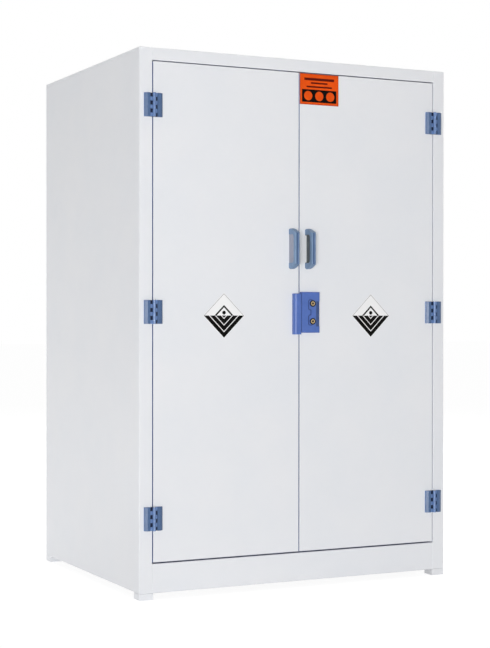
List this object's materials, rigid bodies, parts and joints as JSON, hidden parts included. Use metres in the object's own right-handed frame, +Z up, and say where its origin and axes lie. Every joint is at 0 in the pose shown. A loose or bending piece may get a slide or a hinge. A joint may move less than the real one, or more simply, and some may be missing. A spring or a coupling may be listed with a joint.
{
  "type": "reagent cabinet",
  "caption": "Tall free-standing welded plastic cabinet for bottled reagents, with double doors on plastic hinges, shell handles, a key lock, tray shelves and a spill tray.",
  "frame": {"origin": "on the floor, under the middle of the cabinet with its handles", "axes": "+X to the right along the front, +Y from the doors to the back, +Z up"},
  "size_m": [1.09, 0.905, 1.67],
  "materials": {
    "white_plastic": "satin welded polypropylene sheet",
    "hinge_blue_plastic": "satin moulded plastic",
    "handle_blue_plastic": "satin moulded plastic",
    "lock_blue_plastic": "satin moulded plastic",
    "blue_seal": "soft matte",
    "steel": "plain",
    "dark_barrel": "dark plated",
    "brass": "turned",
    "black_white_sticker": "printed film",
    "orange_sticker": "printed film"
  },
  "bodies": {
    "cabinet": {"left_side_panel": "white_plastic", "right_side_panel": "white_plastic", "top_panel": "white_plastic", "back_panel": "white_plastic", "base_panel": "white_plastic", "floor_panel": "white_plastic", "left_stile": "white_plastic", "right_stile": "white_plastic", "top_rail": "white_plastic", "bottom_rail": "white_plastic", "floor_bearers": "white_plastic", "feet": "white_plastic", "lower_shelf": "white_plastic", "middle_shelf": "white_plastic", "upper_shelf": "white_plastic", "spill_tray": "white_plastic", "shelf_standards": "white_plastic", "shelf_clips": "white_plastic", "left_bottom_frame_leaf": "hinge_blue_plastic", "left_middle_frame_leaf": "hinge_blue_plastic", "left_top_frame_leaf": "hinge_blue_plastic", "right_bottom_frame_leaf": "hinge_blue_plastic", "right_middle_frame_leaf": "hinge_blue_plastic", "right_top_frame_leaf": "hinge_blue_plastic", "frame_leaf_covers": "hinge_blue_plastic", "opening_seal": "blue_seal", "left_hinge_pins": "steel", "right_hinge_pins": "steel", "frame_leaf_screws": "steel"},
    "left_door": {"left_door_outer_panel": "white_plastic", "left_door_core": "white_plastic", "left_door_inner_panel": "white_plastic", "left_bottom_door_leaf": "hinge_blue_plastic", "left_middle_door_leaf": "hinge_blue_plastic", "left_top_door_leaf": "hinge_blue_plastic", "left_door_leaf_covers": "hinge_blue_plastic", "left_handle": "handle_blue_plastic", "lock_keeper": "lock_blue_plastic", "left_door_edge_band": "blue_seal", "left_door_screws": "steel", "left_diamond_sticker": "black_white_sticker"},
    "right_door": {"right_door_outer_panel": "white_plastic", "right_door_core": "white_plastic", "right_door_inner_panel": "white_plastic", "right_bottom_door_leaf": "hinge_blue_plastic", "right_middle_door_leaf": "hinge_blue_plastic", "right_top_door_leaf": "hinge_blue_plastic", "right_door_leaf_covers": "hinge_blue_plastic", "right_handle": "handle_blue_plastic", "lock_housing": "lock_blue_plastic", "lock_base_plate": "lock_blue_plastic", "right_door_edge_band": "blue_seal", "right_door_screws": "steel", "lock_barrels": "dark_barrel", "right_diamond_sticker": "black_white_sticker", "caution_sticker": "orange_sticker"},
    "upper_key": {"upper_key_core": "brass"},
    "lower_key": {"lower_key_core": "brass"},
    "upper_bolt": {"upper_bolt": "steel"},
    "lower_bolt": {"lower_bolt": "steel"}
  },
  "joints": [
    {"name": "left_door_hinge", "type": "hinge", "parent": "cabinet", "child": "left_door", "pos_m": [-0.5019, -0.4195, 0.87115], "axis": [0, 0, -1], "range_deg": [0, 180]},
    {"name": "right_door_hinge", "type": "hinge", "parent": "cabinet", "child": "right_door", "pos_m": [0.5019, -0.4195, 0.87115], "axis": [0, 0, 1], "range_deg": [0, 180]},
    {"name": "upper_bolt_slide", "type": "slide", "parent": "right_door", "child": "upper_bolt", "axis": [-1, 0, 0], "range_m": [0, 0.01131]},
    {"name": "upper_key_turn", "type": "hinge", "parent": "right_door", "child": "upper_key", "pos_m": [0.041, -0.4165, 0.89875], "axis": [0, -1, 0], "range_deg": [0, 90]},
    {"name": "lower_bolt_slide", "type": "slide", "parent": "right_door", "child": "lower_bolt", "axis": [-1, 0, 0], "range_m": [0, 0.01131]},
    {"name": "lower_key_turn", "type": "hinge", "parent": "right_door", "child": "lower_key", "pos_m": [0.041, -0.4165, 0.84225], "axis": [0, -1, 0], "range_deg": [0, 90]}
  ],
  "couplings": [
    {"joint": "upper_key_turn", "follows": "upper_bolt_slide", "rad_per_m": 138.88},
    {"joint": "lower_key_turn", "follows": "lower_bolt_slide", "rad_per_m": 138.88}
  ]
}
